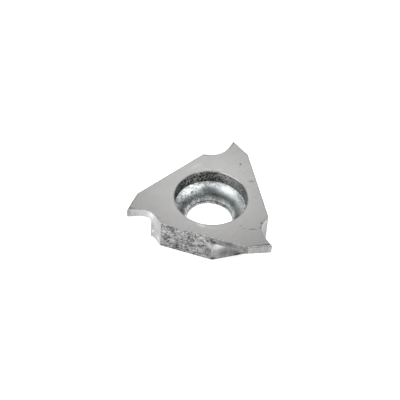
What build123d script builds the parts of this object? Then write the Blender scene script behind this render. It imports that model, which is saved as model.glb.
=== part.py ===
"""Triangular grooving insert with three cutting tips, one solid of sintered carbide.

The blank is pressed as a triangular plate with a stepped screw hole. Its two large faces are
then ground flat, and each corner is ground into a thin cutting blade: a flank across the corner,
a curved gullet in front of the cutting edge, and a pocket that relieves the blade from below.

Frame: +Z is the screw axis, the seating face lies at Z = 0, and one corner points to +Y.
Lengths are in millimetres and angles in degrees.
"""

import os
from math import cos, radians, sin, tan

from build123d import *

# Blank
corner_count = 3
inscribed_diameter = 9.525
thickness = 3.18
base_chamfer = 0.15

# Screw hole: a drafted recess for the screw head, a rounded seat and a short straight bore
recess_diameter = 6.88
recess_depth = 1.3
recess_draft = 3.0
bore_diameter = 4.4
bore_land = 0.4

# Cutting tip, seen from above with the corner pointing along +X
tip_setback = 1.512
tip_offset = 0.249
flank_angle = 56.4
rake_lean = 10.0
gullet_setback = 4.973
gullet_lean = 16.5
gullet_radius = 1.85
corner_radius = 0.1

# Blade: what is left under the top face once the pocket is ground from below
blade_width = 1.0
side_relief = 4.6
groove_depth = 2.27
step_angle = 64.5
step_fillet = 0.35

# Derived sizes
inscribed_radius = inscribed_diameter / 2
half_corner = 90 - 180 / corner_count
corner_reach = inscribed_radius / sin(radians(half_corner))
tip_x = corner_reach - tip_setback
first_corner = 90
overrun = inscribed_diameter
recess_floor = thickness - recess_depth
recess_radius = recess_diameter / 2
seat_outer_radius = recess_radius - recess_depth * tan(radians(recess_draft))
bore_radius = bore_diameter / 2


def heading(angle):
    """Unit vector in the XY plane, anticlockwise from +X."""
    return Vector(cos(radians(angle)), sin(radians(angle)))


# Outline of the waste beyond one tip: up the flank, in along the rake face and out by the gullet
tip = Vector(tip_x, tip_offset)
gullet_mouth = Vector(corner_reach, 0) + heading(180 - half_corner) * gullet_setback
rake_line = Axis(tip, heading(180 - rake_lean))
gullet_line = Axis(gullet_mouth, heading(90 + gullet_lean))
gullet_root = rake_line.intersect(gullet_line)
flank_end = tip - heading(flank_angle) * overrun
gullet_end = gullet_mouth + heading(90 + gullet_lean) * overrun
waste_x = corner_reach + overrun
flank_middle = tip - heading(flank_angle) * blade_width + Vector(0, 0, thickness - blade_width / 2)

with BuildSketch() as tip_waste:
    with BuildLine():
        Polyline(
            flank_end,
            tip,
            gullet_root,
            gullet_end,
            (waste_x, gullet_end.Y),
            (waste_x, flank_end.Y),
            close=True,
        )
    make_face()
    root_corner = tip_waste.vertices().sort_by_distance(gullet_root)[0]
    fillet(root_corner, radius=gullet_radius)

# Pocket under one blade: a straight step wall, a sloping ceiling and a fillet between them
step_foot = tip - heading(step_angle - 90) * groove_depth
step_low = step_foot - heading(step_angle) * overrun
step_high = step_foot + heading(step_angle) * overrun
blade_underside = Plane(
    origin=(tip_x, tip_offset, thickness - blade_width),
    x_dir=(cos(radians(side_relief)), 0, -sin(radians(side_relief))),
    z_dir=(sin(radians(side_relief)), 0, cos(radians(side_relief))),
)

with BuildPart() as blade_pocket:
    with BuildSketch(Plane.XY.offset(-thickness)):
        with BuildLine():
            Polyline(
                step_low,
                step_high,
                (waste_x + overrun, step_high.Y),
                (waste_x + overrun, step_low.Y),
                close=True,
            )
        make_face()
    extrude(amount=3 * thickness)
    split(bisect_by=blade_underside, keep=Keep.BOTTOM)
    step_wall = blade_pocket.faces().sort_by_distance(step_foot)[0]
    fillet(step_wall.edges().sort_by(Axis.Z)[-1], radius=step_fillet)

with BuildPart() as insert_body:
    # Pressed triangular blank
    with BuildSketch():
        RegularPolygon(
            radius=inscribed_radius,
            side_count=corner_count,
            major_radius=False,
            rotation=first_corner,
        )
    extrude(amount=thickness)
    chamfer(insert_body.edges().group_by(Axis.Z)[0], length=base_chamfer)

    # Recess, rounded seat and bore in one turned profile
    with BuildSketch(Plane.XZ):
        with BuildLine():
            Polyline(
                (bore_radius, bore_land),
                (bore_radius, 0),
                (0, 0),
                (0, thickness),
                (recess_radius, thickness),
                (seat_outer_radius, recess_floor),
            )
            TangentArc(
                (bore_radius, bore_land),
                (seat_outer_radius, recess_floor),
                tangent=(0, 1),
            )
        make_face()
    revolve(axis=Axis.Z, mode=Mode.SUBTRACT)

    # Ground tips: flank, rake face and gullet, through the whole thickness
    with BuildSketch():
        with PolarLocations(0, corner_count, start_angle=first_corner):
            add(tip_waste.sketch)
    extrude(amount=thickness, mode=Mode.SUBTRACT)

    # Pockets that thin each tip to a blade
    with PolarLocations(0, corner_count, start_angle=first_corner):
        add(blade_pocket.part, mode=Mode.SUBTRACT)

    # Small radius on both corners of each cutting edge, carried back along the flank
    corner_edges = []
    for tip_number in range(corner_count):
        turn = first_corner + tip_number * 360 / corner_count
        flank_face = insert_body.faces().sort_by_distance(flank_middle.rotate(Axis.Z, turn))[0]
        corner_edges += flank_face.edges().filter_by(Axis.Z, reverse=True)
    fillet(corner_edges, radius=corner_radius)

insert_body.part.label = "insert_body"

os.makedirs("parts", exist_ok=True)
export_step(insert_body.part, "parts/insert_body.step")
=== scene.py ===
"""Dresses a triangular carbide grooving insert and lights it in a plain white studio.

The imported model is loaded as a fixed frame. The insert is rebuilt from a merged copy of its one
node: the pressed side walls are cut into a fine grid, the top outline gets a hone, and the stepped
screw hole is turned anew with a worn rim. A Geometry Nodes tree then lays the grain of the pressed
blank on the surfaces that were never ground, and hands out one material for each finish.
All lengths are in metres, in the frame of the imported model.
"""

from __future__ import annotations

import logging
import math
from dataclasses import dataclass, field
from enum import IntEnum
from functools import cached_property
from typing import NamedTuple, Sequence

import bmesh
import bpy
from bmesh.types import BMEdge, BMesh, BMFace, BMLayerItem, BMVert
from bpy.types import Material, Mesh, Node, NodeOutputs, NodeSocket as Socket, NodeTree, Object
from mathutils import Matrix, Vector, noise

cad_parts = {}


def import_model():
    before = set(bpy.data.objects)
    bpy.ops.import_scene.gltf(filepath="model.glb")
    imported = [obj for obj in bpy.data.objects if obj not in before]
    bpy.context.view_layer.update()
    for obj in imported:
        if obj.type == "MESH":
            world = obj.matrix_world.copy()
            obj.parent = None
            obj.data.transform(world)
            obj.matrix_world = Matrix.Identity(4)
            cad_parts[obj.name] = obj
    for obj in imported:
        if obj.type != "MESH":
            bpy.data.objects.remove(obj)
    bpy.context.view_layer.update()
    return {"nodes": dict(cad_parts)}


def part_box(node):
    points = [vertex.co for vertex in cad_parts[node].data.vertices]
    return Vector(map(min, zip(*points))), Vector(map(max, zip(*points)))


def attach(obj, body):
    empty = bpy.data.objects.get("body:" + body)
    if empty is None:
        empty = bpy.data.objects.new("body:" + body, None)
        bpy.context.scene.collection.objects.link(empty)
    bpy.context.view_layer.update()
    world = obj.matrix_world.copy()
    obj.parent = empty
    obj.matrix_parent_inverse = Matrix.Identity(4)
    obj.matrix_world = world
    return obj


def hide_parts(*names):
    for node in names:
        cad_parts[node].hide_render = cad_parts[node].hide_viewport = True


LOG = logging.getLogger("insert")
MM = 0.001
MICRON = 1e-6
NODE = "insert_body"
BODY = "root"
EDGE = "edge"
GRAIN = "grain"
REGION = "region"

Triple = tuple[float, float, float]
Paint = tuple[float, float, float, float]
WHITE: Paint = (1.0, 1.0, 1.0, 1.0)
ORIGIN: Triple = (0.0, 0.0, 0.0)


class Region(IntEnum):
    """Surface of the insert, which decides its finish."""

    GROUND_FACE = 0
    RAKE = 1
    FLANK = 2
    SINTERED_WALL = 3
    RECESS = 4
    SEAT = 5
    BORE = 6
    HONED_EDGE = 7


# ---- Node helpers ----


@dataclass
class NodeBoard:
    """A node tree with short calls for adding and joining nodes."""

    tree: NodeTree

    def feed(self, node: Node, inputs: dict[int | str, object]) -> None:
        """Fills inputs of a node.

        Args:
            node: The node.
            inputs: For each input, by number or name, a socket to link or a plain value to set.
        """
        for key, value in inputs.items():
            if isinstance(value, Socket):
                self.tree.links.new(value, node.inputs[key])
            else:
                node.inputs[key].default_value = value

    def add(
        self,
        kind: str,
        inputs: dict[int | str, object] | None = None,
        output: int | str = 0,
        **settings: object,
    ) -> Socket:
        """Adds a node.

        Args:
            kind: Blender's type name of the node.
            inputs: What its inputs are filled with.
            output: Number or name of the output that is wanted.
            settings: Properties to set on the node.

        Returns:
            The output.
        """
        node = self.tree.nodes.new(kind)
        for name, value in settings.items():
            setattr(node, name, value)
        self.feed(node, inputs or {})
        return node.outputs[output]

    def math(self, operation: str, first: object, second: object = 0.0, clamp: bool = False) -> Socket:
        """Calculates with two numbers; a clamped result is held between 0 and 1."""
        return self.add("ShaderNodeMath", {0: first, 1: second}, operation=operation, use_clamp=clamp)

    def arrow(self, operation: str, first: object, second: object = ORIGIN) -> Socket:
        """Calculates with two vectors, or scales one by a factor.

        Args:
            operation: Blender's name of the operation.
            first: The first vector.
            second: The second vector, or the factor of SCALE.

        Returns:
            The result, which is a number for LENGTH.
        """
        key = "Scale" if operation == "SCALE" else 1
        output = "Value" if operation == "LENGTH" else "Vector"
        return self.add("ShaderNodeVectorMath", {0: first, key: second}, output, operation=operation)

    def noise(self, place: Socket, scale: object, detail: float = 2.0) -> Socket:
        """Reads noise at a place, which is 0.5 on average."""
        return self.add("ShaderNodeTexNoise", {"Vector": place, "Scale": scale, "Detail": detail})

    def fray(self, place: Socket, cell: float, detail: float) -> Socket:
        """Reads noise round 0 with cells of one size, for ragged borders."""
        return self.math("SUBTRACT", self.noise(place, 1 / cell, detail), 0.5)

    def turn(self, place: Socket, angle: Socket) -> Socket:
        """Turns a place about Z by an angle in radians."""
        inputs = {"Vector": place, "Angle": angle}
        return self.add("ShaderNodeVectorRotate", inputs, rotation_type="Z_AXIS")

    def split(self, place: Socket) -> NodeOutputs:
        """Gives the X, Y and Z of a place."""
        return self.add("ShaderNodeSeparateXYZ", {0: place}).node.outputs

    def vector(self, *parts: object) -> Socket:
        """Makes a vector of its X, Y and Z."""
        return self.add("ShaderNodeCombineXYZ", dict(enumerate(parts)))

    def contrast(self, value: Socket, factor: Socket) -> Socket:
        """Swings a value round 0.5 by a factor, held between 0 and 1."""
        swing = self.math("MULTIPLY", self.math("SUBTRACT", value, 0.5), factor)
        return self.math("ADD", swing, 0.5, clamp=True)

    def spread(self, value: object, low: object, high: object, *ends: object) -> Socket:
        """Maps low..high to a start and an end, which are 0 and 1 unless given, and holds it there."""
        return self.add("ShaderNodeMapRange", dict(enumerate((value, low, high, *ends))))

    def blend(self, share: object, first: object, second: object) -> Socket:
        """Mixes two colours, where a share of 0 gives the first and 1 the second."""
        inputs = {"Factor": share, "A": first, "B": second}
        return self.add("ShaderNodeMix", inputs, "Result", data_type="RGBA")


def new_group(
    name: str, inputs: dict[str, object], outputs: Sequence[str], kind: str = "ShaderNodeTree"
) -> tuple[NodeBoard, NodeOutputs, Node]:
    """Starts a node group with named sockets.

    Args:
        name: The group's name.
        inputs: Default of each input; a triple makes a vector, a string names another socket type.
        outputs: Names of the outputs; each is a number, unless named Vector or Geometry.
        kind: ShaderNodeTree or GeometryNodeTree.

    Returns:
        The group's board, the sockets that it takes in, and the node that puts out its results.
    """
    tree = bpy.data.node_groups.new(name, kind)
    for label, value in inputs.items():
        if isinstance(value, str):
            tree.interface.new_socket(name=label, in_out="INPUT", socket_type=value)
            continue
        sort = "NodeSocketVector" if isinstance(value, tuple) else "NodeSocketFloat"
        socket = tree.interface.new_socket(name=label, in_out="INPUT", socket_type=sort)
        socket.default_value = value
    sorts = {"Vector": "NodeSocketVector", "Geometry": "NodeSocketGeometry"}
    for label in outputs:
        sort = sorts.get(label, "NodeSocketFloat")
        tree.interface.new_socket(name=label, in_out="OUTPUT", socket_type=sort)
    start = tree.nodes.new("NodeGroupInput")
    return NodeBoard(tree), start.outputs, tree.nodes.new("NodeGroupOutput")


# ---- Studio ----


def add_object(name: str, data: bpy.types.ID) -> Object:
    """Makes an object of a mesh, camera or light and puts it into the scene.

    Args:
        name: The object's name.
        data: What it shows.

    Returns:
        The object.
    """
    made = bpy.data.objects.new(name, data)
    bpy.context.scene.collection.objects.link(made)
    return made


def new_material(name: str) -> tuple[Material, Node]:
    """Makes a material with nodes.

    Args:
        name: The material's name.

    Returns:
        The material and its Principled BSDF.
    """
    material = bpy.data.materials.new(name)
    material.use_nodes = True
    return material, material.node_tree.nodes["Principled BSDF"]


def direction(azimuth: float, elevation: float) -> Vector:
    """Unit vector towards a compass angle and height.

    Args:
        azimuth: Degrees, 0 towards -Y and 90 towards +X.
        elevation: Degrees above the horizon.

    Returns:
        The unit vector.
    """
    a, e = math.radians(azimuth), math.radians(elevation)
    return Vector((math.sin(a) * math.cos(e), -math.cos(a) * math.cos(e), math.sin(e)))


@dataclass
class ViewCamera:
    """Camera that looks down on the insert with a slight roll."""

    aim: Vector
    azimuth: float = 15.45
    elevation: float = 46.75
    roll: float = 3.82
    distance: float = 112.50 * MM
    lens: float = 108.0
    pan_right: float = -1.026 * MM
    pan_up: float = -0.252 * MM
    nearest: float = 1 * MM
    farthest: float = 10.0

    def build(self) -> None:
        """Makes the camera and sets it as the scene's."""
        back = direction(self.azimuth, self.elevation)
        level = Vector((0, 0, 1)).cross(back).normalized()
        upright = back.cross(level)
        turn = math.radians(self.roll)
        right = math.cos(turn) * level + math.sin(turn) * upright
        up = back.cross(right)
        data = bpy.data.cameras.new("view_camera")
        data.lens = self.lens
        data.clip_start = self.nearest
        data.clip_end = self.farthest
        camera = add_object("view_camera", data)
        place = self.aim + back * self.distance + right * self.pan_right + up * self.pan_up
        axes = Matrix((right, up, back)).transposed()
        camera.matrix_world = Matrix.Translation(place) @ axes.to_4x4()
        bpy.context.scene.camera = camera


@dataclass(frozen=True)
class Softbox:
    """Square area light that points at the insert."""

    name: str
    azimuth: float
    elevation: float
    side: float
    radiance: float
    distance: float = 0.40

    def build(self, target: Vector) -> None:
        """Makes the light.

        Args:
            target: Point that it faces.
        """
        data = bpy.data.lights.new(self.name, "AREA")
        data.shape = "SQUARE"
        data.size = self.side
        data.energy = self.radiance * math.pi * self.side**2
        light = add_object(self.name, data)
        back = direction(self.azimuth, self.elevation)
        light.location = target + back * self.distance
        light.rotation_mode = "QUATERNION"
        light.rotation_quaternion = (-back).to_track_quat("-Z", "Y")


@dataclass(frozen=True)
class Flag:
    """Grey card on the viewer's side, which only reflections see."""

    azimuths: tuple[float, float] = (-15.0, 45.0)
    elevations: tuple[float, float] = (2.0, 50.0)
    distance: float = 0.30
    tone: float = 0.30
    steps: int = 12
    body: Paint = (0.02, 0.02, 0.02, 1.0)

    def build(self, target: Vector) -> None:
        """Makes the card as a patch of a sphere round the insert.

        Args:
            target: Centre of the sphere.
        """
        low, high = self.elevations
        left, right = self.azimuths
        verts = []
        for i in range(self.steps + 1):
            height = low + (high - low) * i / self.steps
            for k in range(self.steps + 1):
                turn = left + (right - left) * k / self.steps
                verts.append(target + direction(turn, height) * self.distance)
        row = self.steps + 1
        corners = [i * row + k for i in range(self.steps) for k in range(self.steps)]
        mesh = bpy.data.meshes.new("grey_flag")
        mesh.from_pydata(verts, [], [(c, c + 1, c + row + 1, c + row) for c in corners])
        card = add_object("grey_flag", mesh)
        for kind in ("camera", "diffuse", "shadow", "transmission"):
            setattr(card, f"visible_{kind}", False)
        material, shader = new_material("grey_card")
        light = {"Emission Color": WHITE, "Emission Strength": self.tone}
        NodeBoard(material.node_tree).feed(shader, {"Base Color": self.body, "Roughness": 1.0} | light)
        mesh.materials.append(material)


@dataclass
class Studio:
    """White table and backdrop, even world light, three soft lamps and a grey card."""

    centre: Vector
    ambient: float = 0.25
    floor_half: float = 0.6
    floor_gap: float = 0.2 * MICRON
    floor_tone: Paint = (0.80, 0.80, 0.80, 1.0)
    floor_lift: float = 0.76
    boxes: Sequence[Softbox] = (
        Softbox("left_box", azimuth=302.0, elevation=63.0, side=0.33, radiance=2.8),
        Softbox("right_box", azimuth=116.0, elevation=58.0, side=0.26, radiance=4.1),
        Softbox("back_box", azimuth=199.0, elevation=35.0, side=0.15, radiance=1.9),
    )

    def build(self) -> None:
        """Makes the floor, the world, the lamps and the card."""
        self._world()
        self._floor()
        for box in self.boxes:
            box.build(self.centre)
        Flag().build(self.centre)

    @staticmethod
    def _shown(board: NodeBoard) -> Socket:
        """Tells the camera and reflections, which see the backdrop, from light.

        Args:
            board: Board of the world or of a material.

        Returns:
            1 for the camera and for reflections, 0 for light.
        """
        path = board.add("ShaderNodeLightPath").node.outputs
        seen = board.math("MAXIMUM", path["Is Camera Ray"], path["Is Glossy Ray"])
        return board.math("MAXIMUM", seen, path["Is Transmission Ray"])

    def _world(self) -> None:
        """Makes grey light from all round, which shows as a white backdrop."""
        world = bpy.data.worlds.new("studio_world")
        bpy.context.scene.world = world
        world.use_nodes = True
        board = NodeBoard(world.node_tree)
        strength = board.math("MAXIMUM", self._shown(board), self.ambient)
        board.feed(world.node_tree.nodes["Background"], {"Color": WHITE, "Strength": strength})

    def _floor(self) -> None:
        """Makes a pale table that shows white and keeps the insert's shadow."""
        half = self.floor_half
        mesh = bpy.data.meshes.new("table_top")
        corners = [(x * half, y * half, -self.floor_gap) for x, y in ((-1, -1), (1, -1), (1, 1), (-1, 1))]
        mesh.from_pydata(corners, [], [(0, 1, 2, 3)])
        floor = add_object("table_top", mesh)
        material, shader = new_material("white_table")
        board = NodeBoard(material.node_tree)
        board.feed(shader, {"Base Color": self.floor_tone, "Roughness": 1.0, "Specular IOR Level": 0.0})
        lift = board.math("MULTIPLY", self._shown(board), self.floor_lift)
        board.feed(shader, {"Emission Color": WHITE, "Emission Strength": lift})
        mesh.materials.append(material)


# ---- Effects that the finishes share ----


@dataclass
class Effects:
    """The shader node groups, each built once and placed in each finish with its own values.

    Angles are in degrees, scales are against the mottle's coarse noise.
    """

    third: float = 120.0
    first_middle: float = -88.0
    broad_scale: float = 0.27
    fine_scale: float = 2.7
    pit_scale: float = 1.7
    pit_noise: tuple[float, float] = (0.36, 0.26)
    mark_fray: float = 0.12 * MM
    rim_fray: float = 0.16 * MM
    rim_fade: float = 0.35

    @cached_property
    def thirds(self) -> NodeTree:
        """Turns each third of the insert onto the one from the left tip to the right tip."""
        board, start, end = new_group("thirds", {"Vector": ORIGIN}, ("Vector",))
        third = math.radians(self.third)
        east, north, _ = board.split(start["Vector"])
        angle = board.math("ARCTAN2", north, east)
        off = board.math("SUBTRACT", angle, math.radians(self.first_middle))
        number = board.math("ROUND", board.math("DIVIDE", off, third))
        turned = board.turn(start["Vector"], board.math("MULTIPLY", number, -third))
        board.feed(end, {"Vector": turned})
        return board.tree

    @cached_property
    def mottle(self) -> NodeTree:
        """Blotches of pressed powder: broad, coarse and fine noise, as a tone, a height and pits."""
        inputs = {"Vector": ORIGIN, "Cell": 0.3 * MM, "Contrast": 2.0, "Seed": 0.0}
        inputs |= {"Broad": 0.28, "Fine": 0.30}
        board, start, end = new_group("mottle", inputs, ("Tone", "Height", "Pits"))
        scaled = board.arrow("SCALE", start["Vector"], board.math("DIVIDE", 1.0, start["Cell"]))
        place = board.arrow("ADD", scaled, start["Seed"])
        rest = board.math("SUBTRACT", 1.0, board.math("ADD", start["Broad"], start["Fine"]))
        broad = board.math("MULTIPLY", board.noise(place, self.broad_scale, 1.0), start["Broad"])
        coarse = board.math("MULTIPLY", board.noise(place, 1.0, 2.0), rest)
        fine = board.math("MULTIPLY", board.noise(place, self.fine_scale, 1.0), start["Fine"])
        height = board.math("ADD", broad, board.math("ADD", coarse, fine))
        pits = board.spread(board.noise(place, self.pit_scale, 0.0), *self.pit_noise)
        board.feed(end, {"Tone": board.contrast(height, start["Contrast"]), "Height": height, "Pits": pits})
        return board.tree

    @cached_property
    def grinding(self) -> NodeTree:
        """Wheel marks: noise that is short across X and Y and long along Z."""
        inputs = {"Vector": ORIGIN, "Spacing": 0.1 * MM, "Length": 3 * MM, "Contrast": 2.0}
        board, start, end = new_group("grinding", inputs, ("Tone", "Height"))
        cells = board.vector(start["Spacing"], start["Spacing"], start["Length"])
        lines = board.noise(board.arrow("DIVIDE", start["Vector"], cells), 1.0, 2.0)
        board.feed(end, {"Tone": board.contrast(lines, start["Contrast"]), "Height": lines})
        return board.tree

    @cached_property
    def mark(self) -> NodeTree:
        """One soft patch: 1 inside a ragged ellipsoid and 0 outside; spots, scratches, painted shade and
        painted highlights.
        """
        inputs = {"Vector": ORIGIN, "Centre": ORIGIN, "Turn": 0.0, "Reach": (MM, MM, MM)}
        inputs |= {"Strength": 1.0, "Softness": 0.7}
        board, start, end = new_group("mark", inputs, ("Mask",))
        off = board.arrow("SUBTRACT", start["Vector"], start["Centre"])
        turned = board.turn(off, board.math("MULTIPLY", start["Turn"], -1.0))
        away = board.arrow("LENGTH", board.arrow("DIVIDE", turned, start["Reach"]))
        edge = board.math("ADD", away, board.fray(start["Vector"], self.mark_fray, 1.0))
        inside = board.spread(edge, 1.0, board.math("SUBTRACT", 1.0, start["Softness"]))
        board.feed(end, {"Mask": board.math("MULTIPLY", inside, start["Strength"])})
        return board.tree

    @cached_property
    def wear(self) -> NodeTree:
        """Ragged dark line along an edge, partly wear and partly painted shade, from a number that is 1 on
        the edge and falls off beside it.
        """
        inputs = {"Vector": ORIGIN, "Edge": 0.0, "Reach": 0.6, "Ragged": 1.2}
        board, start, end = new_group("edge_wear", inputs, ("Mask",))
        fray = board.fray(start["Vector"], self.rim_fray, 2.0)
        level = board.math("ADD", start["Edge"], board.math("MULTIPLY", fray, start["Ragged"]))
        above = board.math("SUBTRACT", level, board.math("SUBTRACT", 1.0, start["Reach"]))
        board.feed(end, {"Mask": board.spread(above, 0.0, self.rim_fade)})
        return board.tree


# ---- Finishes ----


class Skin(NamedTuple):
    """Surface of a finish: tone is 0 for dark and 1 for light, and shade is 1 where it is darkest."""

    tone: Socket
    height: Socket
    shade: Socket


@dataclass
class SkinBoard(NodeBoard):
    """A material's board, with the shared groups and the place at which they are read."""

    effects: Effects
    place: Socket = field(init=False)

    def __post_init__(self) -> None:
        """Takes the place from the object coordinates."""
        self.place = self.add("ShaderNodeTexCoord", output="Object")

    def lay(self, effect: str, label: str, **values: object) -> NodeOutputs:
        """Places a shared group.

        Args:
            effect: The group's name among the effects.
            label: What it stands for here.
            values: A number or socket for each input, named in lower case. Without a vector, the
                group is read at the board's place.

        Returns:
            The group's outputs.
        """
        inputs = {name.title(): value for name, value in ({"vector": self.place} | values).items()}
        tree = getattr(self.effects, effect)
        return self.add("ShaderNodeGroup", inputs, label=label, node_tree=tree).node.outputs


@dataclass(frozen=True)
class Mark:
    """A soft patch for a spot, a scratch, painted shade or a painted highlight, with a centre, a turn about
    Z and a reach, in millimetres and degrees.
    """

    centre: Triple
    turn: float
    reach: Triple
    strength: float
    softness: float = 0.7

    def mask(self, board: SkinBoard, place: Socket) -> Socket:
        """Adds the mark's mask to a material.

        Args:
            board: The material's board.
            place: Where the mask is read.

        Returns:
            The mask.
        """
        centre, reach = (tuple(part * MM for part in triple) for triple in (self.centre, self.reach))
        outputs = board.lay(
            "mark", "mark", vector=place, centre=centre, turn=math.radians(self.turn), reach=reach,
            strength=self.strength, softness=self.softness,
        )
        return outputs["Mask"]


@dataclass(frozen=True)
class Finish:
    """What every finish of the carbide has: tinted metal, a roughness, a relief, marks, painted shade and
    painted highlights.

    Tones and roughness are each given where the surface is dark and where it is light.
    """

    name: str
    tint: Triple
    tones: tuple[float, float]
    roughness: tuple[float, float]
    relief: float
    dark_marks: tuple[Mark, ...] = ()
    light_marks: tuple[Mark, ...] = ()
    rubbed: tuple[Mark, ...] = ()
    marks_on_each_tip: bool = False
    mark_dark: float = 0.04
    mark_light: float = 0.8
    rubbed_tone: float = 0.5
    rubbed_shade: float = 0.4

    def build(self, effects: Effects) -> Material:
        """Makes the material.

        Args:
            effects: The shared node groups.

        Returns:
            The new material.
        """
        material, shader = new_material(self.name)
        board = SkinBoard(material.node_tree, effects)
        tone, height, shade = self._surface(board)
        rubbed = self._marks(board, self.rubbed)
        if rubbed is not None:
            tone = board.spread(rubbed, 0.0, 1.0, tone, self.rubbed_tone)
            weaker = board.math("MULTIPLY", shade, self.rubbed_shade)
            shade = board.spread(rubbed, 0.0, 1.0, shade, weaker)
        # Dark marks: scratches and chips on the ground face, painted shade on the other surfaces.
        painted_shade_and_scratch_mask = self._marks(board, self.dark_marks)
        if painted_shade_and_scratch_mask is not None:
            shade = board.math("MAXIMUM", shade, painted_shade_and_scratch_mask)
        dark, light = self.tones
        colour = board.blend(tone, self._colour(dark), self._colour(light))
        colour = board.blend(shade, colour, self._colour(self.mark_dark))
        # Painted highlights and painted reflections.
        painted_highlight_mask = self._marks(board, self.light_marks)
        if painted_highlight_mask is not None:
            colour = board.blend(painted_highlight_mask, colour, self._colour(self.mark_light))
        roughness = board.spread(tone, 0.0, 1.0, *self.roughness)
        normal = board.add("ShaderNodeBump", {"Distance": self.relief, "Height": height}, "Normal")
        board.feed(shader, {"Base Color": colour, "Metallic": 1.0, "Roughness": roughness, "Normal": normal})
        return material

    def _colour(self, tone: float) -> Paint:
        """The tint at a tone."""
        red, green, blue = self.tint
        return (red * tone, green * tone, blue * tone, 1.0)

    def _marks(self, board: SkinBoard, marks: Sequence[Mark]) -> Socket | None:
        """Adds the masks of some marks.

        Args:
            board: The material's board.
            marks: The marks.

        Returns:
            The strongest mask at each point, or None where there are no marks.
        """
        mask = None
        place = board.place
        if marks and self.marks_on_each_tip:
            place = board.lay("thirds", "this third")["Vector"]
        for mark in marks:
            spot = mark.mask(board, place)
            mask = spot if mask is None else board.math("MAXIMUM", mask, spot)
        return mask

    def _surface(self, board: SkinBoard) -> Skin:
        """Adds what is special to the finish, in each subclass."""
        raise NotImplementedError

    @staticmethod
    def _rim(board: SkinBoard, reach: float, depth: float) -> Socket:
        """Adds a ragged dark line along the surface's edges, partly wear and partly painted shade of rounded
        edges and of the wall's foot on the table.

        Args:
            board: The material's board.
            reach: Share of the edge band that it fills.
            depth: Greatest shade.

        Returns:
            The shade.
        """
        edge = board.add("ShaderNodeAttribute", output="Fac", attribute_name=EDGE)
        rim = board.lay("wear", "dark rim", edge=edge, reach=reach)
        return board.math("MULTIPLY", rim["Mask"], depth)


@dataclass(frozen=True)
class Ground(Finish):
    """Surface with wheel marks over faint blotches."""

    spacing: float = 0.24 * MM
    length: float = 3.0 * MM
    contrast: float = 3.0
    blotch: float = 0.35 * MM
    blotch_contrast: float = 3.0
    line_share: float = 0.6

    def _wheel_marks(self, board: SkinBoard, place: Socket) -> Skin:
        """Adds the wheel marks and the blotches.

        Args:
            board: The material's board.
            place: Where the wheel marks are read, which run along its Z.

        Returns:
            The surface, with the pits of the blotches as its shade.
        """
        lines = board.lay(
            "grinding", "wheel marks", vector=place, spacing=self.spacing,
            length=self.length, contrast=self.contrast,
        )
        blotches = board.lay("mottle", "blotches", cell=self.blotch, contrast=self.blotch_contrast)
        streaks = board.math("MULTIPLY", lines["Tone"], self.line_share)
        clouds = board.math("MULTIPLY", blotches["Tone"], 1 - self.line_share)
        return Skin(board.math("ADD", streaks, clouds), lines["Height"], blotches["Pits"])


@dataclass(frozen=True)
class GroundFace(Ground):
    """Face ground flat on a large wheel, which leaves long faint arcs, with a darkened rim that is partly
    painted shade, and painted shade towards the tips.
    """

    spacing: float = 0.07 * MM
    length: float = 2.4 * MM
    contrast: float = 2.0
    blotch: float = 0.9 * MM
    blotch_contrast: float = 2.5
    line_share: float = 0.5
    wheel: tuple[float, float] = (52 * MM, -30 * MM)
    rim_reach: float = 0.58
    rim_depth: float = 0.54
    stain: tuple[float, float] = (4.2 * MM, 7.8 * MM)
    stain_depth: float = 0.28

    def _surface(self, board: SkinBoard) -> Skin:
        """Adds the arcs, a painted shade that grows towards the tips, where the back light's broad
        reflection falls off, and the dark line along the outline.

        Args:
            board: The material's board.

        Returns:
            The surface.
        """
        away = board.arrow("SUBTRACT", board.place, (*self.wheel, 0.0))
        flat = board.arrow("MULTIPLY", away, (1.0, 1.0, 0.0))
        east, north, _ = board.split(flat)
        angle = board.math("ARCTAN2", north, board.math("MULTIPLY", east, -1.0))
        round_wheel = board.math("MULTIPLY", angle, math.hypot(*self.wheel))
        arc = board.vector(board.arrow("LENGTH", flat), 0.0, round_wheel)
        tone, height, _ = self._wheel_marks(board, arc)
        # Painted shade: the face darkens with distance from the middle, as the back light's reflection falls
        # off.
        stain = board.spread(board.arrow("LENGTH", board.place), *self.stain, 0.0, self.stain_depth)
        rim = self._rim(board, self.rim_reach, self.rim_depth)
        return Skin(tone, height, board.math("MAXIMUM", stain, rim))


@dataclass(frozen=True)
class GroundTip(Ground):
    """Rake, flank and pocket, ground with upright wheel marks."""

    pits: float = 0.08

    def _surface(self, board: SkinBoard) -> Skin:
        """Adds upright wheel marks and a few pits."""
        skin = self._wheel_marks(board, board.place)
        return skin._replace(shade=board.math("MULTIPLY", skin.shade, self.pits))


@dataclass(frozen=True)
class Pressed(Finish):
    """Skin of the pressed and sintered blank: blotches of powder with dark pits."""

    cell: float = 0.30 * MM
    contrast: float = 4.0
    pits: float = 0.6
    seed: float = 0.0
    broad: float = 0.28
    fine: float = 0.30
    rim_reach: float = 0.35
    rim_depth: float = 0.6

    def _surface(self, board: SkinBoard) -> Skin:
        """Adds the blotches, the pits and the dark line along the edges, which is partly painted shade.

        Args:
            board: The material's board.

        Returns:
            The surface.
        """
        powder = board.lay(
            "mottle", "powder", cell=self.cell, contrast=self.contrast, seed=self.seed,
            broad=self.broad, fine=self.fine,
        )
        rim = self._rim(board, self.rim_reach, self.rim_depth)
        pits = board.math("MULTIPLY", powder["Pits"], self.pits)
        return Skin(powder["Tone"], powder["Height"], board.math("MAXIMUM", rim, pits))


NEUTRAL: Triple = (1.0, 1.0, 1.0)
WARM: Triple = (1.0, 0.992, 0.98)
COOL: Triple = (0.95, 0.995, 1.0)
OLIVE: Triple = (0.99, 1.0, 0.975)
TOP = 3.18  # height of the ground face in millimetres, for its marks

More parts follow.
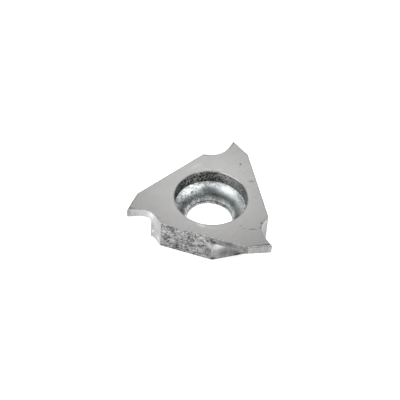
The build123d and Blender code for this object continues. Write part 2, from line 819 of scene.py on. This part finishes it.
FACE_SCRATCHES = (
    Mark((1.33, 5.18, TOP), 20, (0.15, 0.22, 0.3), 0.85),
    Mark((1.50, 5.85, TOP), 20, (0.50, 0.16, 0.3), 0.22),
    Mark((3.02, 3.36, TOP), 20, (0.48, 0.21, 0.3), 0.42, 0.5),
    Mark((1.94, 4.15, TOP), -73, (0.30, 0.07, 0.3), 0.25),
    Mark((3.64, -2.43, TOP), 10, (0.16, 0.08, 0.3), 0.55),
    Mark((4.05, -2.67, TOP), 20, (0.16, 0.09, 0.3), 0.65),
    Mark((4.85, -2.48, TOP), 18, (0.75, 0.14, 0.3), 0.60),
    Mark((-0.16, -4.25, TOP), 20, (0.20, 0.08, 0.3), 0.20),
    Mark((1.89, -3.74, TOP), 20, (0.18, 0.08, 0.3), 0.25),
    Mark((5.43, -1.49, TOP), 20, (0.24, 0.24, 0.3), 0.75),
    Mark((5.42, -2.03, TOP), 20, (0.18, 0.20, 0.3), 0.60),
    Mark((6.65, -3.90, TOP), 20, (0.60, 0.12, 0.3), 0.70),
    Mark((-6.52, -3.92, TOP), 20, (0.45, 0.14, 0.3), 0.70),
    Mark((-5.07, -1.80, TOP), 20, (0.24, 0.16, 0.3), 0.25),
)
# Painted highlights: lighter patches in the top face's reflection.
FACE_SHINE = (
    Mark((-2.61, 3.43, TOP), 55, (0.75, 0.22, 0.3), 0.08, 0.9),
    Mark((-1.48, 3.38, TOP), 10, (0.60, 0.18, 0.3), 0.10, 0.9),
    Mark((-0.30, 3.75, TOP), 0, (0.45, 0.16, 0.3), 0.08, 0.9),
    Mark((0.28, -3.68, TOP), -10, (0.62, 0.30, 0.3), 0.26, 0.9),
    Mark((1.20, -3.60, TOP), 10, (1.10, 0.20, 0.3), 0.07, 0.9),
)
# Painted shade and painted shadow: the pocket darkens under the blade's overhang and where it meets the
# table.
POCKET_SHADE = (
    Mark((2.85, -3.95, 0.72), 35, (0.95, 0.60, 0.62), 0.46, 0.9),
    Mark((3.20, -3.70, 1.30), 35, (0.80, 0.60, 0.90), 0.35, 0.9),
    Mark((3.75, -3.40, 0.45), 35, (1.20, 0.70, 0.90), 0.45, 0.9),
    Mark((3.82, -3.25, 0.10), 35, (0.50, 0.50, 0.36), 1.00),
    Mark((1.75, -4.68, 0.22), 35, (0.45, 0.40, 0.22), 1.00),
)
# Painted highlights on the pockets and flanks, where they reflect the lit table.
POCKET_SHINE = (
    Mark((2.28, -4.35, 1.78), 35, (1.00, 0.60, 0.60), 0.52, 0.8),
    Mark((6.95, -3.85, 2.65), 25, (0.50, 0.40, 0.70), 0.12, 0.9),
)
# Painted shade on the left rake's tip and the right gullet, where their reflections are darker.
RAKE_SHADE = (
    Mark((-6.62, -4.14, 2.70), 20, (0.42, 0.40, 1.20), 0.36, 0.9),
    Mark((-3.81, -4.25, 1.40), -45, (0.30, 0.30, 0.55), 0.26, 0.9),
    Mark((5.60, -1.20, 1.6), 75, (1.90, 1.00, 3.8), 0.66, 0.8),
    Mark((5.62, -1.00, 1.2), 75, (1.10, 0.80, 1.5), 0.84, 0.9),
    Mark((5.50, -1.90, 2.9), 75, (0.90, 0.80, 1.1), 0.84, 0.9),
)
# Painted highlights: a lamp's reflection in the left gullet's arc and two small glints below it.
RAKE_SHINE = (
    Mark((-4.55, -3.80, 2.9), -20, (0.70, 0.50, 1.2), 0.55, 0.9),
    Mark((-4.33, -3.90, 0.82), 0, (0.18, 0.20, 0.24), 0.75),
    Mark((-3.64, -4.42, 0.70), 0, (0.16, 0.20, 0.24), 0.75),
)
RUBBED_WALL = (
    Mark((3.40, -4.76, 3.0), 0, (2.30, 0.50, 1.0), 0.8, 0.5),
    Mark((1.70, -4.76, 1.3), 0, (0.70, 0.50, 1.9), 0.7, 0.8),
)
# Painted shade on the front wall's strip above and beside the pocket.
WALL_SHADE = (
    Mark((3.30, -4.76, 3.00), 0, (0.60, 0.40, 0.40), 0.55, 0.9),
    Mark((1.90, -4.76, 2.62), 0, (0.22, 0.40, 0.26), 0.80),
    Mark((4.80, -4.76, 2.75), 0, (0.50, 0.40, 0.60), 0.25, 0.9),
)
# Painted highlight where the front wall turns into the pocket.
WALL_SHINE = (Mark((1.50, -4.76, 1.95), 0, (0.30, 0.40, 0.45), 0.70, 0.9),)
# Painted shade on the recess's left and far sides.
RECESS_SHADE = (
    Mark((-3.3, -0.2, 2.5), 90, (2.2, 1.3, 1.4), 0.75, 0.9),
    Mark((-1.1, 3.25, 2.8), 170, (1.9, 0.8, 1.1), 0.62, 0.9),
)
# Painted reflection: the right side of the recess is lighter.
RECESS_SHINE = (
    Mark((1.5, 3.0, 2.5), 152, (2.3, 1.3, 1.5), 0.36, 0.9),
    Mark((2.9, 1.8, 2.4), 118, (1.3, 0.9, 1.5), 0.26, 0.9),
)
# Painted shade in the seat: its lower band, which reflects the table in the hole's shade, the gap between
# the lamp reflections, and its left side.
SEAT_SHADE = (
    Mark((0.10, 2.30, 0.80), 5, (1.70, 0.70, 0.36), 0.62, 0.9),
    Mark((-2.35, 1.20, 0.85), 60, (1.60, 0.60, 0.55), 0.70, 0.9),
    Mark((-0.95, 2.60, 1.50), 172, (1.10, 0.90, 0.45), 0.56, 0.9),
    Mark((0.00, 2.35, 1.08), 5, (1.80, 0.80, 0.42), 0.66, 0.9),
    Mark((-2.95, -0.45, 1.60), 80, (1.00, 0.70, 0.80), 0.40, 0.9),
)
# Painted highlights that widen the lamps' reflections in the seat.
SEAT_SHINE = (
    Mark((2.60, 1.20, 1.35), 115, (1.4, 0.8, 0.7), 0.50, 0.9),
    Mark((-2.40, 1.90, 1.60), 50, (1.0, 0.8, 0.8), 0.10, 0.9),
)
SILKY_SEAT = (
    Mark((0.82, 2.65, 1.5), 150, (1.9, 1.5, 1.4), 0.90),
    Mark((-0.90, 2.60, 1.4), 175, (1.4, 1.3, 1.2), 0.45, 0.9),
)
# Painted shade on the bore's far side.
BORE_SHADE = (Mark((-0.20, 2.20, 0.20), 0, (1.20, 0.60, 0.50), 0.35, 0.9),)
# Painted highlight along the burr on the hole's rim.
BURR_SHINE = (Mark((1.00, 3.32, TOP), -18, (1.9, 0.45, 0.3), 0.9, 0.4),)

FINISHES: dict[Region, Finish] = {
    Region.GROUND_FACE: GroundFace(
        "fine_ground_face", WARM, tones=(0.270, 0.333), roughness=(0.31, 0.26), relief=0.0003 * MM,
        dark_marks=FACE_SCRATCHES, light_marks=FACE_SHINE,
    ),
    Region.RAKE: GroundTip(
        "ground_rake", NEUTRAL, tones=(0.275, 0.45), roughness=(0.30, 0.20), relief=0.0006 * MM,
        dark_marks=RAKE_SHADE, light_marks=RAKE_SHINE, spacing=0.4 * MM,
    ),
    Region.FLANK: GroundTip(
        "ground_flank", NEUTRAL, tones=(0.185, 0.315), roughness=(0.34, 0.24), relief=0.0006 * MM,
        dark_marks=POCKET_SHADE, light_marks=POCKET_SHINE, marks_on_each_tip=True,
    ),
    Region.SINTERED_WALL: Pressed(
        "sintered_wall", NEUTRAL, tones=(0.035, 0.43), roughness=(0.55, 0.38), relief=0.008 * MM,
        dark_marks=WALL_SHADE, light_marks=WALL_SHINE, rubbed=RUBBED_WALL, marks_on_each_tip=True,
        mark_light=0.48, rubbed_tone=0.34, cell=0.26 * MM,
    ),
    Region.RECESS: Pressed(
        "sintered_recess", OLIVE, tones=(0.00, 0.325), roughness=(0.60, 0.45), relief=0.008 * MM,
        dark_marks=RECESS_SHADE, light_marks=RECESS_SHINE, mark_dark=0.01, mark_light=0.6,
        cell=0.19 * MM, contrast=7.0, seed=3.7, broad=0.06, fine=0.22, rim_depth=0.0,
    ),
    Region.SEAT: Pressed(
        "rounded_seat", COOL, tones=(0.12, 0.56), roughness=(0.48, 0.34), relief=0.006 * MM,
        dark_marks=SEAT_SHADE, light_marks=SEAT_SHINE, rubbed=SILKY_SEAT, rubbed_tone=0.62,
        cell=0.15 * MM, contrast=6.0, pits=0.8, seed=9.1, rim_reach=0.42, rim_depth=0.8,
    ),
    Region.BORE: Pressed(
        "bore", OLIVE, tones=(0.04, 0.50), roughness=(0.40, 0.24), relief=0.006 * MM,
        dark_marks=BORE_SHADE, cell=0.20 * MM, contrast=5.0, seed=5.3, rim_reach=0.66, rim_depth=1.0,
    ),
    # Its dark tone is partly painted shade: the dark line of the rounded edges, and the base chamfer over
    # the table's shadow.
    Region.HONED_EDGE: Pressed(
        "honed_edge", NEUTRAL, tones=(0.14, 0.46), roughness=(0.45, 0.25), relief=0.002 * MM,
        light_marks=BURR_SHINE, mark_light=0.85, cell=0.18 * MM, seed=1.9, rim_depth=0.0,
    ),
}


# ---- Screw hole ----


def join_rings(bm: BMesh, outer: Sequence[BMVert], inner: Sequence[BMVert], region: Region) -> None:
    """Joins two closed rings of as many vertices by a band of faces.

    Args:
        bm: Mesh with the layer of regions.
        outer: The ring that the band starts from.
        inner: The ring that it ends at.
        region: Region of its faces.
    """
    layer = bm.faces.layers.int[REGION]
    for i, vert in enumerate(outer):
        after = (i + 1) % len(outer)
        face = bm.faces.new((vert, outer[after], inner[after], inner[i]))
        face[layer] = region


@dataclass(frozen=True)
class Waver:
    """Ragged course round the hole's axis: coarse noise and a share of finer noise."""

    coarse: float
    fine: float = 0.0
    share: float = 0.0

    def at(self, around: Vector) -> float:
        """Value in a direction from the axis."""
        return noise.noise(around * self.coarse) + self.share * noise.noise(around * self.fine)


@dataclass(frozen=True)
class RimPatch:
    """Stretch of the hole's rim that is wider, with its middle and spread in degrees."""

    middle: float
    spread: float
    width: float

    def at(self, turn: float) -> float:
        """Width that it adds at an angle in radians."""
        off = (math.degrees(turn) - self.middle + 180) % 360 - 180
        return math.exp(-((off / self.spread) ** 2)) * self.width


@dataclass(frozen=True)
class HoleRow:
    """One ring of vertices down the hole, before wear."""

    radius: float
    height: float
    region: Region
    edge: float = 0.0
    grain: float = 0.0
    rim_out: float = 0.0
    rim_down: float = 0.0
    floor_share: float = 0.0


@dataclass
class ScrewHole:
    """Stepped screw hole: worn rim, drafted recess, rounded seat and short straight bore.

    The rim's width swings round the hole, and a burr and chips add to it. The line between recess
    and seat wanders, and takes a part of the wall above it and of the seat below it along.
    """

    top: float
    recess_radius: float = 3.44 * MM
    recess_depth: float = 1.30 * MM
    recess_draft: float = 3.0
    bore_radius: float = 2.20 * MM
    bore_land: float = 0.40 * MM
    segments: int = 400
    step: float = 0.055 * MM
    slack: float = 10 * MICRON
    rim_width: float = 0.028 * MM
    rim_least: float = 0.012 * MM
    rim_swing: float = 0.6
    rim_waver: Waver = Waver(coarse=40, fine=95, share=0.6)
    rim_round: tuple[float, float] = (0.3, 0.2)
    rim_band: float = 0.12 * MM
    rim_steps: int = 2
    burr: RimPatch = RimPatch(middle=70.0, spread=26.0, width=0.011 * MM)
    burr_swing: tuple[float, float] = (0.8, 1.2)
    chips: RimPatch = RimPatch(middle=30.0, spread=32.0, width=0.09 * MM)
    chip_waver: Waver = Waver(coarse=22)
    land_line: float = 0.24 * MM
    floor_wander: float = 0.02 * MM
    floor_waver: Waver = Waver(coarse=17, fine=31, share=0.3)
    wander_above: int = 3
    wander_below: int = 16
    recess_grain: float = 0.4
    grain_rise: float = 2.0
    seat_grain: float = 0.12
    bore_grain: float = 0.15

    @property
    def reach(self) -> float:
        """Radius inside which every vertex belongs to the hole."""
        return self.recess_radius + self.slack

    @property
    def floor(self) -> float:
        """Height at which the recess ends and the seat begins."""
        return self.top - self.recess_depth

    @property
    def seat_curve(self) -> float:
        """Radius of the seat's arc, which ends upright at the bore."""
        across = self.radius_at(self.floor) - self.bore_radius
        down = self.floor - self.bore_land
        return (across**2 + down**2) / (2 * across)

    def radius_at(self, height: float) -> float:
        """Works out the radius of the hole's wall.

        Args:
            height: Height above the seating face.

        Returns:
            The radius.
        """
        if height >= self.floor:
            return self.recess_radius - (self.top - height) * math.tan(math.radians(self.recess_draft))
        if height <= self.bore_land:
            return self.bore_radius
        curve = self.seat_curve
        return self.bore_radius + curve - math.sqrt(curve**2 - (height - self.bore_land) ** 2)

    def _heights(self, high: float, low: float) -> list[float]:
        """Even heights from high down to low, without low itself."""
        count = max(2, math.ceil((high - low) / self.step))
        return [high + (low - high) * i / count for i in range(count)]

    @staticmethod
    def _last_part(share: float, parts: int) -> float:
        """Rises from 0 to 1 over the last of so many equal parts of a stretch."""
        return max(0.0, parts * share - (parts - 1))

    def rows(self) -> list[HoleRow]:
        """Rings from the top face down to the seating face.

        Returns:
            The rings; each one's region is that of the surface above it.
        """
        face, hone = Region.GROUND_FACE, Region.HONED_EDGE
        rim = self.recess_radius
        out, down = self.rim_round
        rows = [
            HoleRow(rim + self.rim_band, self.top, face, rim_out=1.0),
            HoleRow(rim, self.top, face, edge=1.0, rim_out=1.0),
            HoleRow(rim, self.top, hone, edge=1.0, rim_out=out, rim_down=down),
        ]
        region = hone
        for height in self._heights(self.top, self.floor)[self.rim_steps :]:
            share = (self.top - height) / self.recess_depth
            drift = self._last_part(share, self.wander_above)
            grain = min(self.recess_grain, self.grain_rise * share)
            rows.append(HoleRow(self.radius_at(height), height, region, grain=grain, floor_share=drift))
            region = Region.RECESS
        for height in self._heights(self.floor, self.bore_land):
            share = (height - self.bore_land) / (self.floor - self.bore_land)
            drift = self._last_part(share, self.wander_below)
            grain = self.seat_grain + (self.recess_grain - self.seat_grain) * drift
            edge = max(0.0, 1 - (height - self.bore_land) / self.land_line)
            rows.append(HoleRow(self.radius_at(height), height, region, edge, grain, floor_share=drift))
            region = Region.SEAT
        for height in self._heights(self.bore_land, 0.0):
            edge = max(0.0, 1 - (self.bore_land - height) / self.land_line)
            rows.append(HoleRow(self.bore_radius, height, region, edge, self.bore_grain))
            region = Region.BORE
        rows.append(HoleRow(self.bore_radius, 0.0, region, edge=1.0))
        return rows

    def _worn(self, row: HoleRow, turn: float) -> Vector:
        """Places a vertex, with the worn rim and the wandering floor line.

        Args:
            row: The vertex's ring.
            turn: Its angle in radians.

        Returns:
            The place.
        """
        around = Vector((math.cos(turn), math.sin(turn), 0.0))
        ragged = self.rim_waver.at(around)
        least, swing = self.burr_swing
        width = self.rim_width * (1 + self.rim_swing * ragged)
        width += self.burr.at(turn) * (least + swing * ragged)
        width = max(width, self.rim_least) + self.chips.at(turn) * max(0.0, self.chip_waver.at(around))
        drift = self.floor_wander * self.floor_waver.at(around)
        radius = row.radius + width * row.rim_out
        height = row.height - width * row.rim_down + drift * row.floor_share
        return around * radius + Vector((0, 0, height))

    def build(self, bm: BMesh) -> None:
        """Adds the hole's skin to a mesh.

        Args:
            bm: Mesh with the layers of regions, edges and grain.
        """
        edge, grain = bm.verts.layers.float[EDGE], bm.verts.layers.float[GRAIN]
        turns = [2 * math.pi * i / self.segments for i in range(self.segments)]
        above: list[BMVert] = []
        for row in self.rows():
            ring = []
            for turn in turns:
                vert = bm.verts.new(self._worn(row, turn))
                vert[edge] = row.edge
                vert[grain] = row.grain
                ring.append(vert)
            join_rings(bm, above, ring, row.region)
            above = ring


# ---- Grain of the pressed blank ----


@dataclass(frozen=True)
class PressedGrain:
    """Geometry Nodes tree that lays grain on the pressed skin and hands out the materials."""

    coarse_cell: float = 0.34 * MM
    coarse_depth: float = 0.022 * MM
    fine_cell: float = 0.13 * MM
    fine_depth: float = 0.010 * MM
    seed: float = 4.0

    def lay(self, piece: Object, materials: dict[Region, Material]) -> None:
        """Runs the tree on a piece and keeps the result as the piece's plain mesh.

        Args:
            piece: Object whose mesh has the layers of regions and grain.
            materials: Material of each region.
        """
        tree = self._tree()
        modifier = piece.modifiers.new("pressed_grain", "NODES")
        modifier.node_group = tree
        values = self._sizes() | {region.name.title(): materials[region] for region in Region}
        for item in tree.interface.items_tree:
            if item.name in values:
                modifier[item.identifier] = values[item.name]
        graph = bpy.context.evaluated_depsgraph_get()
        rough = piece.data
        piece.data = bpy.data.meshes.new_from_object(
            piece.evaluated_get(graph), preserve_all_data_layers=True, depsgraph=graph
        )
        piece.modifiers.clear()
        bpy.data.meshes.remove(rough)
        piece.data.name = piece.name

    def _sizes(self) -> dict[str, float]:
        """Gives the fields under the names of the tree's inputs."""
        return {name.replace("_", " ").title(): value for name, value in vars(self).items()}

    def _tree(self) -> NodeTree:
        """Builds the tree.

        Returns:
            The tree, with inputs for the grain's sizes, the seed and each region's material.
        """
        inputs = {"Geometry": "NodeSocketGeometry"} | self._sizes()
        inputs |= {region.name.title(): "NodeSocketMaterial" for region in Region}
        board, start, end = new_group("pressed_grain", inputs, ("Geometry",), "GeometryNodeTree")
        place = board.arrow("ADD", board.add("GeometryNodeInputPosition"), start["Seed"])
        lifts = []
        for name in ("Coarse", "Fine"):
            bumps = board.noise(place, board.math("DIVIDE", 1.0, start[f"{name} Cell"]), 1.0)
            lifts.append(board.math("MULTIPLY", board.math("SUBTRACT", bumps, 0.5), start[f"{name} Depth"]))
        # The noise swings by 0.5 to each side, so a depth is reached at twice its height.
        height = board.math("MULTIPLY", board.math("ADD", *lifts), 2.0)
        height = board.math("MULTIPLY", height, self._attribute(board, GRAIN, "FLOAT"))
        offset = board.arrow("SCALE", board.add("GeometryNodeInputNormal"), height)
        moved = board.add("GeometryNodeSetPosition", {"Geometry": start["Geometry"], "Offset": offset})
        result = board.add("GeometryNodeRealizeInstances", {0: moved})
        number = self._attribute(board, REGION, "INT")
        for region in Region:
            values = {"A": number, "B": int(region)}
            here = board.add("FunctionNodeCompare", values, data_type="INT", operation="EQUAL")
            skin = {"Geometry": result, "Selection": here, "Material": start[region.name.title()]}
            result = board.add("GeometryNodeSetMaterial", skin, label=region.name.title())
        board.feed(end, {"Geometry": result})
        return board.tree

    @staticmethod
    def _attribute(board: NodeBoard, name: str, kind: str) -> Socket:
        """Reads a layer of the mesh by its name."""
        return board.add("GeometryNodeInputNamedAttribute", {"Name": name}, "Attribute", data_type=kind)


# ---- Insert ----


@dataclass
class OuterShell:
    """Outside of the insert: finely sliced side walls, ground tips and a honed top outline.

    A slope is the Z of a face's normal, and angles are in degrees.
    """

    bm: BMesh
    top: float
    inscribed_radius: float = 4.7625 * MM
    corners: int = 3
    first_wall: float = 30.0
    wall_slack: float = 5 * MICRON
    wall_cosine: float = 0.9999
    wall_step: float = 0.055 * MM
    cut_slack: float = 0.1 * MICRON
    flat_angle: float = 0.5
    upright_share: float = 0.9
    pocket_round: float = 0.25 * MM
    pocket_segments: int = 4
    pocket_limit: float = 3.0 * MM
    end_share: float = 0.1
    chamfer_slope: float = -0.5
    fillet_slopes: tuple[float, float] = (0.2, 0.999)
    border_rows: int = 3
    border_grain: float = 0.5
    hone: float = 0.03 * MM
    hone_at_fillet: float = 0.004 * MM
    hone_middle: float = 0.29
    rim_band: float = 0.14 * MM
    wall_rim: float = 0.88
    tip_guard: float = 0.15 * MM
    crease: float = 25.0
    border_crease: float = 5.0

    @property
    def wall_normals(self) -> list[Vector]:
        """Outward directions of the pressed side walls."""
        turns = [math.radians(self.first_wall + 360 * i / self.corners) for i in range(self.corners)]
        return [Vector((math.cos(t), math.sin(t), 0.0)) for t in turns]

    @property
    def region(self) -> BMLayerItem:
        """Layer that holds the region of each face."""
        return self.bm.faces.layers.int[REGION]

    def clear(self, reach: float) -> None:
        """Merges the facets of the solid and deletes the hole and the two level faces.

        Args:
            reach: Radius inside which every face belongs to the hole.
        """
        bm = self.bm
        bmesh.ops.remove_doubles(bm, verts=bm.verts, dist=MICRON)
        gone = []
        for face in bm.faces:
            inside = all(math.hypot(v.co.x, v.co.y) < reach for v in face.verts)
            if inside or self._is_level(face):
                gone.append(face)
        bmesh.ops.delete(bm, geom=gone, context="FACES")
        angle = math.radians(self.flat_angle)
        bmesh.ops.dissolve_limit(bm, angle_limit=angle, verts=bm.verts, edges=bm.edges)

    def refine(self) -> None:
        """Adds what the solid leaves out, and names the region of each face."""
        self._round_pockets()
        for normal in self.wall_normals:
            self._slice_wall(normal)
        self.bm.normal_update()
        region = self.region
        for face in self.bm.faces:
            face[region] = self._region_of(face)
        self._mask_walls()
        self._guard_tips()
        self._hone_outline()
        self._split_wide_faces()

    def close(self) -> None:
        """Fills the top and the seating face between the outline and the hole."""
        bm = self.bm
        for height in (0.0, self.top):
            rim = [e for e in self._open_edges() if all(abs(v.co.z - height) < MICRON for v in e.verts)]
            bmesh.ops.triangle_fill(bm, use_beauty=True, use_dissolve=False, edges=rim, normal=(0, 0, 1))
        bmesh.ops.recalc_face_normals(bm, faces=bm.faces)

    def shade(self) -> None:
        """Shades everything smooth between marked sharp edges."""
        region = self.region
        for face in self.bm.faces:
            face.smooth = True
        for edge in self.bm.edges:
            first, second = edge.link_faces
            limit = self.crease if first[region] == second[region] else self.border_crease
            edge.smooth = edge.calc_face_angle(0.0) < math.radians(limit)

    def _open_edges(self) -> list[BMEdge]:
        """Edges of only one face."""
        return [e for e in self.bm.edges if e.is_boundary]

    def _is_level(self, face: BMFace) -> bool:
        """True for a face of the top or the seating face."""
        heights = {round(v.co.z / MICRON) for v in face.verts}
        return heights in ({0}, {round(self.top / MICRON)})

    def _on_wall(self, face: BMFace, normal: Vector) -> bool:
        """True for a face that lies in the pressed side wall with this normal."""
        off = face.calc_center_median().dot(normal) - self.inscribed_radius
        return face.normal.dot(normal) > self.wall_cosine and abs(off) < self.wall_slack

    @staticmethod
    def _along(normal: Vector) -> Vector:
        """Level direction along a wall."""
        return Vector((-normal.y, normal.x, 0.0))

    def _round_pockets(self) -> None:
        """Rounds the upright corner between each side wall and the pocket ground into it."""
        corners = []
        for edge in self.bm.edges:
            first, second = (v.co for v in edge.verts)
            upright = abs(first.z - second.z) > self.upright_share * edge.calc_length()
            if not upright or edge.is_boundary:
                continue
            for normal in self.wall_normals:
                beside_wall = any(self._on_wall(f, normal) for f in edge.link_faces)
                if beside_wall and 0 < first.dot(self._along(normal)) < self.pocket_limit:
                    corners.append(edge)
        bmesh.ops.bevel(
            self.bm, geom=corners, offset=self.pocket_round, offset_type="OFFSET",
            segments=self.pocket_segments, profile=0.5, affect="EDGES", clamp_overlap=True,
        )

    def _slice_wall(self, normal: Vector) -> None:
        """Cuts one side wall into a fine grid that stays joined to its neighbours.

        Args:
            normal: Outward direction of the wall.
        """
        for across in (self._along(normal), Vector((0, 0, 1))):
            ahead = [f for f in self.bm.faces if self._on_wall(f, normal)]
            reach = [v.co.dot(across) for f in ahead for v in f.verts]
            low, high = min(reach), max(reach)
            count = math.ceil((high - low) / self.wall_step)
            for i in range(1, count):
                place = low + (high - low) * i / count
                cut = bmesh.ops.bisect_plane(
                    self.bm,
                    geom=ahead + list({e for f in ahead for e in f.edges}),
                    dist=self.cut_slack,
                    plane_co=across * place,
                    plane_no=across,
                )
                faces = [g for g in cut["geom"] if isinstance(g, BMFace)]
                ahead = [f for f in faces if f.calc_center_median().dot(across) > place]

    def _region_of(self, face: BMFace) -> Region:
        """Names the surface that a face belongs to.

        Args:
            face: The face.

        Returns:
            Its region.
        """
        nearest = max(self.wall_normals, key=face.normal.dot)
        centre = face.calc_center_median()
        if self._on_wall(face, nearest):
            return Region.SINTERED_WALL
        if face.normal.z < self.chamfer_slope and centre.z < self.end_share * self.top:
            return Region.HONED_EDGE
        low, high = self.fillet_slopes
        if low < face.normal.z < high and centre.z > (1 - self.end_share) * self.top:
            return Region.HONED_EDGE
        return Region.FLANK if centre.dot(self._along(nearest)) > 0 else Region.RAKE

    def _mask_walls(self) -> None:
        """Lets the grain fade at the walls' borders, and marks those borders as edges."""
        bm, region = self.bm, self.region
        edge, grain = bm.verts.layers.float[EDGE], bm.verts.layers.float[GRAIN]
        kept = set()
        for vert in bm.verts:
            vert[edge] = 1.0
            cells = [f[region] == Region.SINTERED_WALL and len(f.verts) == 4 for f in vert.link_faces]
            if all(cells) and not vert.is_boundary:
                kept.add(vert)
        for depth in range(1, self.border_rows + 2):
            ring = {v for v in kept if any(n not in kept for f in v.link_faces for n in f.verts)}
            last = depth > self.border_rows
            for vert in kept if last else ring:
                vert[edge] = 0.0 if last else 1 - depth / (self.border_rows + 1)
                vert[grain] = self.border_grain if depth == 1 else 1.0
            kept -= ring
        for vert in bm.verts:
            if any(f[region] == Region.FLANK for f in vert.link_faces):
                vert[edge] = 0.0

    def _top_rim(self) -> list[BMEdge]:
        """Open edges along the top of the shell."""
        return [e for e in self._open_edges() if all(v.co.z > self.top - MICRON for v in e.verts)]

    @staticmethod
    def _ordered(edges: list[BMEdge]) -> list[BMVert]:
        """Puts the vertices of a closed rim in order.

        Args:
            edges: The rim's edges.

        Returns:
            The vertices, anticlockwise seen from above.
        """
        rim = set(edges)
        edge = edges[0]
        loop = [edge.verts[0]]
        while True:
            vert = edge.other_vert(loop[-1])
            if vert is loop[0]:
                break
            loop.append(vert)
            edge = next(e for e in vert.link_edges if e in rim and e is not edge)
        area = sum(a.co.x * b.co.y - b.co.x * a.co.y for a, b in zip(loop, loop[1:] + loop[:1]))
        return loop if area > 0 else loop[::-1]

    def _guard_tips(self) -> None:
        """Splits the rim beside each rounded stretch, so that the hone tapers over a short way."""
        region = self.region
        rounded = {e: e.link_faces[0][region] == Region.HONED_EDGE for e in self._top_rim()}
        for edge, is_round in rounded.items():
            if is_round or edge.calc_length() < 2 * self.tip_guard:
                continue
            for vert in edge.verts:
                beside = [rounded[e] for e in vert.link_edges if e in rounded and e is not edge]
                if any(beside):
                    bmesh.utils.edge_split(edge, vert, self.tip_guard / edge.calc_length())
                    break

    def _hone_outline(self) -> None:
        """Rounds the top outline and adds a narrow band inside it, which carries the dark rim, partly
        painted shade.
        """
        bm, region = self.bm, self.region
        edge_layer = bm.verts.layers.float[EDGE]
        loop = self._ordered(self._top_rim())
        sides, inward = [], []
        for vert, after in zip(loop, loop[1:] + loop[:1]):
            side = next(e for e in vert.link_edges if e.other_vert(vert) is after)
            sides.append(side.link_faces[0][region])
            inward.append(self._along((after.co - vert.co).normalized()))
        rings: list[list[BMVert]] = [loop, [], [], []]
        for i, vert in enumerate(loop):
            before, here = inward[i - 1], inward[i]
            mitre = (before + here) / (1 + before.dot(here))
            beside = {sides[i - 1], sides[i]}
            hone = self.hone_at_fillet if Region.HONED_EDGE in beside else self.hone
            rim = self.wall_rim if beside == {Region.SINTERED_WALL} else 1.0
            middle = self.hone_middle * hone
            place = vert.co.copy()
            vert.co.z -= hone
            steps = ((middle, middle, rim), (hone, 0.0, rim), (hone + self.rim_band, 0.0, 0.0))
            for ring, (across, down, edge) in zip(rings[1:], steps):
                new = bm.verts.new(place + mitre * across - Vector((0, 0, down)))
                new[edge_layer] = edge
                ring.append(new)
        surfaces = (Region.HONED_EDGE, Region.HONED_EDGE, Region.GROUND_FACE)
        for surface, outer, inner in zip(surfaces, rings, rings[1:]):
            join_rings(bm, outer, inner, surface)

    def _split_wide_faces(self) -> None:
        """Splits the flat faces beside the sliced walls into well-shaped triangles."""
        wide = [f for f in self.bm.faces if len(f.verts) > 4]
        bmesh.ops.triangulate(self.bm, faces=wide, ngon_method="BEAUTY")


@dataclass
class Insert:
    """The insert's one piece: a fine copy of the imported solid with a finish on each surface."""

    hole: ScrewHole = field(init=False)

    def __post_init__(self) -> None:
        """Takes the thickness from the frame."""
        _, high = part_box(NODE)
        self.hole = ScrewHole(top=high[2])

    def build(self, node: Object) -> Object:
        """Makes the insert.

        Args:
            node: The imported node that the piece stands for.

        Returns:
            The finished piece.
        """
        piece = add_object("carbide_insert", self._mesh(node))
        effects = Effects()
        materials = {region: FINISHES[region].build(effects) for region in Region}
        PressedGrain().lay(piece, materials)
        return piece

    def _mesh(self, node: Object) -> Mesh:
        """Builds the fine mesh from a merged copy of the node.

        Args:
            node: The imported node.

        Returns:
            The closed mesh, with its layers of regions, edges and grain.
        """
        bm = bmesh.new()
        bm.from_mesh(node.data)
        bm.verts.layers.float.new(EDGE)
        bm.verts.layers.float.new(GRAIN)
        bm.faces.layers.int.new(REGION)
        shell = OuterShell(bm, self.hole.top)
        shell.clear(self.hole.reach)
        shell.refine()
        self.hole.build(bm)
        shell.close()
        shell.shade()
        mesh = bpy.data.meshes.new("carbide_insert")
        bm.to_mesh(mesh)
        bm.free()
        return mesh


def main() -> None:
    """Builds the insert and its studio."""
    logging.basicConfig(level=logging.INFO, format="%(name)s: %(message)s")
    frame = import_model()
    insert = Insert()
    piece = insert.build(frame["nodes"][NODE])
    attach(piece, BODY)
    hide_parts(NODE)
    LOG.info("%s: %d faces", piece.name, len(piece.data.polygons))
    top_centre = Vector((0.0, 0.0, insert.hole.top))
    Studio(centre=top_centre).build()
    ViewCamera(aim=top_centre).build()
    bpy.context.scene.view_settings.view_transform = "Standard"


if __name__ == "__main__":
    main()
